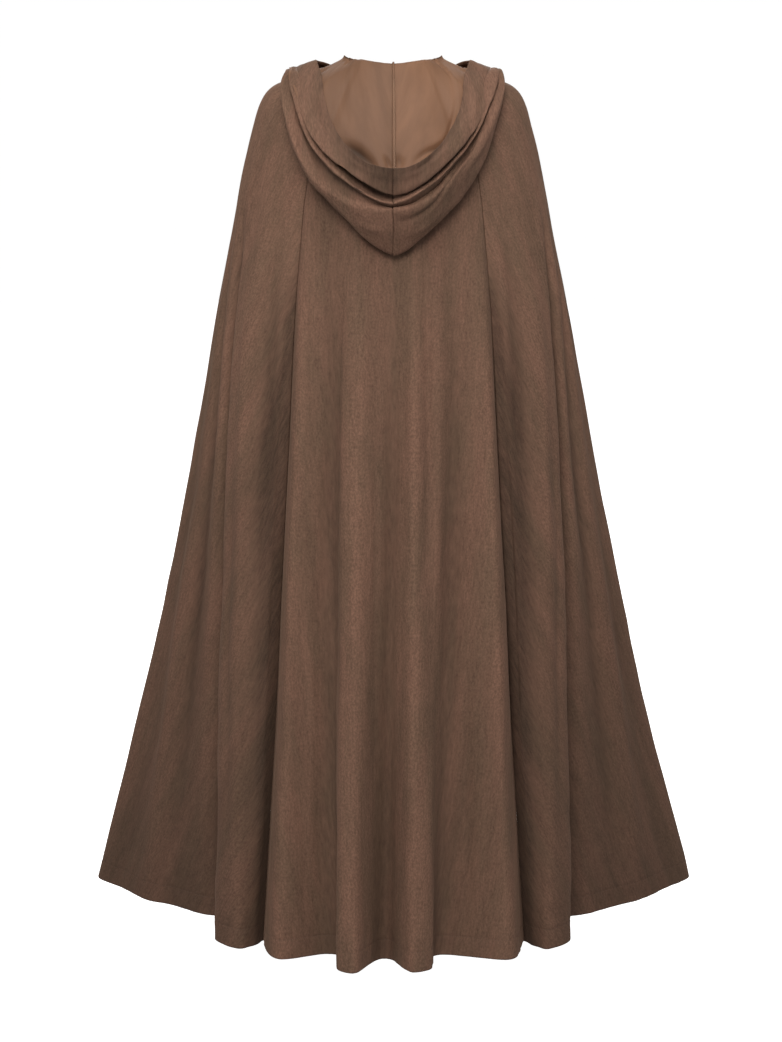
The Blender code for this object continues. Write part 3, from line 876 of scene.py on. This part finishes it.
def cloakHeight(turn, out):
    # Height of the cloak's shoulders under the hood, at a turn round the neck and a distance out
    rings, heights = [], []
    for half, back, front, zBack, zSide, zFront, bend in cloakSections[1:11]:
        behind = math.cos(turn) > 0
        rings.append(1 / math.hypot(math.sin(turn) / half, math.cos(turn) / (back if behind else front)))
        side = 1 - abs(math.cos(turn)) ** bend
        heights.append((zBack if behind else zFront) * (1 - side) + zSide * side)
    return float(np.interp(out, rings, heights))


def layOn(turn, lying, layers):
    # Points of a profile raised so that each keeps its own height above the cloak's shoulders
    for point, above in layers:
        point[1] = max(point[1], cloakHeight(turn, point[0]) + above * lying)


def hoodPlan(angle, stations):
    # The hood's profile at one angle: distance out and height from the neckline to the rim
    turn = math.radians(angle)
    place = np.interp(angle, [s[0] for s in stations], range(len(stations)))
    station = smoothLine(stations, [place], soft=True)[0]
    low, band, rim = station[1:3], station[3:5], station[5:7]
    full, groove, crest, gap = station[7:11]
    half, depth, _, zBack, zSide = cloakSections[0][:5]
    ring = 1 / math.hypot(math.sin(turn) / half, math.cos(turn) / depth)
    level = zSide + (zBack - zSide) * ring * math.cos(turn) / depth + hood["neckGap"]
    out = np.array([1.0, 0.0])
    up = np.array([0.0, 1.0])
    lying = min(1.0, full / 0.3)
    # from the neckline up to the roll, then down the wall inside the hood to the lower turn.
    # Over the shoulders the wall falls steeply, so that it stays below the rim
    neck = np.array([ring, level])
    rise = neck + up * 0.004
    roll = np.array([ring + 0.005 * lying, np.interp(angle, *np.transpose(rollHeights))])
    steep = np.interp(angle, (35, 55, 80, 95), (0, 1, 1, 0))
    over = roll + out * (0.006 + 0.008 * lying - 0.006 * steep)
    over = over + up * (0.003 - 0.006 * lying - 0.004 * steep)
    under = over * 0.5 + low * 0.5 + (out * 0.006 + up * 0.004) * full - up * 0.008 * steep
    inner = over * 0.12 + low * 0.88 - out * 0.006 * full + up * 0.004 * full
    layOn(turn, lying, ((under, 0.0045), (inner, 0.003), (low, 0.002)))
    # outside, up over the low drape, the groove, the next drape and the gap under the band
    lift = up * 0.006 * steep
    sunk = full * (1 - 0.8 * steep)
    swell = low * (1 - crest) + band * crest + out * 0.020 * full + lift
    tuck = low * (1 - groove) + band * groove + out * 0.004 * full + lift
    share = groove * 0.45 + 0.53 - 0.05 * gap
    drape = low * (1 - share) + band * share + out * (0.019 - 0.003 * gap) * full + lift
    shelf = drape * 0.45 + band * 0.55 - out * (0.006 + 0.012 * gap) * sunk + lift
    hollow = band - out * 0.006 * sunk + up * 0.007 * full
    # the band: at the back it hangs facing down a little, and over the shoulders it lies flat
    hang = np.interp(angle, (0, 12, 30), (1, 0.8, 0))
    lower = band + out * (0.019 - 0.007 * hang) * full - up * 0.002 * full
    face = band * 0.5 + rim * 0.5 + out * (0.017 - 0.010 * hang) * full
    upper = band * 0.2 + rim * 0.8 + out * (0.006 - 0.003 * hang) * full
    layOn(turn, lying, ((swell, 0.006), (tuck, 0.006), (drape, 0.008), (shelf, 0.009), (hollow, 0.010)))
    layOn(turn, lying, ((lower, 0.013), (face, 0.015), (upper, 0.014), (rim, 0.012)))
    wall = [neck, rise, roll, over, under, inner, low]
    return np.array([*wall, swell, tuck, drape, shelf, hollow, lower, face, upper, rim])


def hoodGrid(angles, places, side, stations):
    # Points of one half, a row for each place on the profile and a column for each angle
    points, across, down = [], [], []
    top = hood["rimMark"]
    fine = np.linspace(top, 0, 601)
    for angle in angles:
        plan = hoodPlan(max(angle, 0), stations)
        line = smoothLine(plan, places, soft=True)
        turn = math.radians(angle)
        x = side * (line[:, 0] * math.sin(turn) + edgeMargin * math.exp(-max(angle, 0) / 4))
        points.append(np.stack([x, -line[:, 0] * math.cos(turn), line[:, 1]], axis=1))
        across.append(side * line[:, 0] * turn)
        run = lengthAlong(smoothLine(plan, fine, soft=True))
        down.append(np.interp(top - np.array(places), top - fine, run))
    return [np.array(values).swapaxes(0, 1) for values in (points, across, down)]


def hoodNormals(angles, places, side, stations):
    # Normals on the suede side, and nearly in the middle plane at the centre seam
    small = hood["normalStep"]
    lower = hoodGrid(angles, np.maximum(places - 0.04, 0), side, stations)[0]
    upper = hoodGrid(angles, np.minimum(places + 0.04, hood["rimMark"]), side, stations)[0]
    nearer = hoodGrid(angles - small, places, side, stations)[0]
    farther = hoodGrid(np.minimum(angles + small, hood["end"]), places, side, stations)[0]
    normals = unit(np.cross(lower - upper, (farther - nearer) * side))
    normals[:, angles < 0.9, 0] *= 0.1
    return unit(normals)


def creaseEnds(side, points, angles, places):
    # Both kinds of crease as the grid's points where each starts and ends, and its shape
    found = []
    # the creases of the outside aren't looked for on the wall, which ends at the lower turn
    hidden = (places < 6.2)[:, None] * 10.0
    for *ends, wide, tall, bow in hoodCreases[side]:
        spots = []
        for x, z in (ends[:2], ends[2:]):
            away = np.hypot(points[:, :, 0] - x, points[:, :, 2] - z) + hidden
            spots.append(np.unravel_index(np.argmin(away), away.shape))
        found.append((spots, wide, tall, bow))
    for *ends, wide, tall, bow in wallCreases[side]:
        spots = []
        for angle, place in (ends[:2], ends[2:]):
            spots.append((int(np.argmin(abs(places - place))), int(np.argmin(abs(angles - angle)))))
        found.append((spots, wide, tall, bow))
    return found


def hoodRelief(side, found, across, down, places):
    # How far creases and small waves stand out at each point
    raised = np.zeros(across.shape)
    for spots, wide, tall, bow in found:
        (uA, vA), (uB, vB) = [(across[spot], down[spot]) for spot in spots]
        length = max(math.hypot(uB - uA, vB - vA), 0.01)
        lineU, lineV = (uB - uA) / length, (vB - vA) / length
        part = np.clip(((across - uA) * lineU + (down - vA) * lineV) / length, 0, 1)
        swing = np.sin(math.pi * part)
        off = (across - uA) * lineV - (down - vA) * lineU - bow * millimetre * swing
        hump = np.exp(-((off / (wide * millimetre)) ** 2))
        raised += tall * millimetre * swing ** cloth["creaseBlunt"] * hump
    outside = np.clip((places - 5) / 2, 0.25, 1)[:, None]
    for tall, size, seed in hood["waves"]:
        raised += tall * outside * ripple(across, down, size, seed + side)
    return raised * np.clip((places - 2) / 1.5, 0, 1)[:, None]


def hoodHalf(name, side, stations, materials):
    # One half of the hood, with its rim and its centre seam turned in
    spread = np.linspace(0, 1, hood["columns"]) ** hood["columnGrowth"]
    main = 1.0 + (hood["end"] - 1.0) * spread
    # the left half's seam allowance lies over the right half inside; the right one ends at it
    edge = turnedEdge if side < 0 else turnedEdge[1:]
    edge = [(d, s) for d, s in edge if side > 0 or d < 0.003]
    allowance = hood["allowance"] if side < 0 else ()
    angles = np.array([*allowance, *[math.degrees(d / 0.22) for d, _ in edge], *main])
    allowanceSink = [hood["allowanceLayer"]] * len(allowance)
    columnSink = np.array([*allowanceSink, *[s for _, s in edge], *[0.0] * len(main)])

    top = hood["rimMark"]
    rimStart = top - 0.0025 / hood["landmark"]
    body = [i + j / n for i, n in enumerate(hood["rowsBetween"]) for j in range(n)]
    body = np.array([p for p in body if p < rimStart - 0.05] + [rimStart])[::-1]
    fold = [top - d / hood["landmark"] for d, _ in turnedEdge]
    inside = [top - d / hood["landmark"] for d in (hood["rimTurn"], 0.010, 0.006)]
    places = np.array([*inside, *fold, *body])
    rowSink = np.array([1.0] * 3 + [s for _, s in turnedEdge] + [0.0] * len(body))

    points, across, down = hoodGrid(angles, places, side, stations)
    normals = hoodNormals(angles, places, side, stations)
    raised = hoodRelief(side, creaseEnds(side, points, angles, places), across, down, places)
    start = len(inside) + len(fold)
    # how far each point stands out of the form, for the painted shade and highlight
    folds = np.zeros(across.shape)
    for column in range(len(angles)):
        run = down[:, column]
        outer = foldOf(run[start:], points[start:, column], normals[start:, column])
        folds[:, column] = np.interp(run, run[start:], outer)
    sink = columnSink[None, :] + rowSink[:, None] * (1 + columnSink[None, :])
    points = points + normals * (raised - sink * cloth["layerGap"])[:, :, None]

    # painted shade on the face band at the back, where it hangs facing down a little
    bandShade = np.clip((places - 11.5) / 0.5, 0, 1)[:, None] * np.interp(angles, (0, 18, 42), (1.4, 1.0, 0))
    shade = np.clip(folds + raised / cloth["foldDepth"] * cloth["creaseShade"] - bandShade, -1, 1)
    grids = [points, across, down, shade]
    if side < 0:
        grids = [values[:, ::-1] for values in grids]
    # the free edge of the allowance and the next column, for the overlock
    wall = (places > hood["overlock"][0]) & (places < hood["overlock"][1])
    edgeLine = points[wall][:, :2] - normals[wall][:, :2] * (cloth["thick"] / 2)
    return *makeCloth(name, *grids, materials), edgeLine, normals[wall][:, 0]


# the hood's copy of the suede, with its own painted lightness
hoodSuede = suedeMaterial("napped faux suede with painted shade, hood", 0.90, 0.80, 5)
made["hood_left"] = hoodHalf("suede_hood_left", -1, hoodLeft, (hoodSuede, leftWrongSide))
made["hood_right"] = hoodHalf("suede_hood_right", 1, hoodRight, (hoodSuede, rightWrongSide))


# Thread

sewing = {
    "pitch": 0.0034,
    "length": 0.0025,
    "radius": 0.00038,
    "sunk": 0.0001,  # how deep a stitch sits in the cloth
    "loopStep": 0.0028,  # between the two legs of an overlock loop
    "loopReach": 0.0030,
}


def addStitches(name, points, normals, material):
    # Short stitches of thread along a line of points, each a small stretched sphere
    shape = bmesh.new()
    run = lengthAlong(points)
    for place in np.arange(sewing["pitch"], run[-1] - sewing["pitch"], sewing["pitch"]):
        middle = along([place], run, points)[0]
        ahead = along([place + millimetre], run, points)[0] - middle
        normal = along([place], run, normals)[0]
        ball = bmesh.ops.create_uvsphere(shape, u_segments=6, v_segments=4, radius=1.0)
        turn = Vector(ahead).to_track_quat("Z", "Y").to_matrix()
        centre = Vector(middle - unit(normal) * sewing["sunk"])
        for vert in ball["verts"]:
            x, y, z = vert.co
            scaled = Vector((x * sewing["radius"], y * sewing["radius"], z * sewing["length"] / 2))
            vert.co = turn @ scaled + centre
    mesh = meshOf(name, shape, [material])
    mesh.shade_smooth()
    print(f"{name}: {len(mesh.polygons)} faces")
    return addObject(name, mesh)


threads = {}
for panelName in panels:
    _, _, line, lineNormals = made[panelName]
    threads[panelName] = addStitches("hem_topstitch_" + panelName, line, lineNormals, brownThread)

# the overlock's loops zigzag over the free edge of the hood's centre seam, inside
_, _, edgeLine, edgeNormals = made["hood_left"]
edgeRun = lengthAlong(edgeLine[:, 0])
steps = np.arange(0, edgeRun[-1], sewing["loopStep"])
inwards = unit(along(steps, edgeRun, edgeLine[:, 1] - edgeLine[:, 0]))
turns = (np.arange(len(steps)) % 2)[:, None]
legs = along(steps, edgeRun, edgeLine[:, 0]) + inwards * turns * sewing["loopReach"]
legNormals = along(steps, edgeRun, -edgeNormals)
threads["hood_left"] = addStitches("overlock_hood_left", legs, legNormals, tanThread)


# What each piece stands for

# Width and length of each cut in metres, and what it hangs from or lies on
cuts = {
    "back_centre": ((0.72, 1.54), "hung", ()),
    "side_left": ((1.62, 1.60), "hung", ("suede_back_centre",)),
    "side_right": ((1.62, 1.60), "hung", ("suede_back_centre",)),
    "hood_left": ((0.42, 0.44), "folded", ("suede_back_centre", "suede_side_left")),
    "hood_right": ((0.42, 0.44), "folded", ("suede_back_centre", "suede_side_right")),
}
for node, (cut, held, restsOn) in cuts.items():
    piece, area = made[node][:2]
    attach(piece, "root")
    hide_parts(node)
    sewn = [threads[node]] if node in threads else []
    for thread in sewn:
        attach(thread, "root")
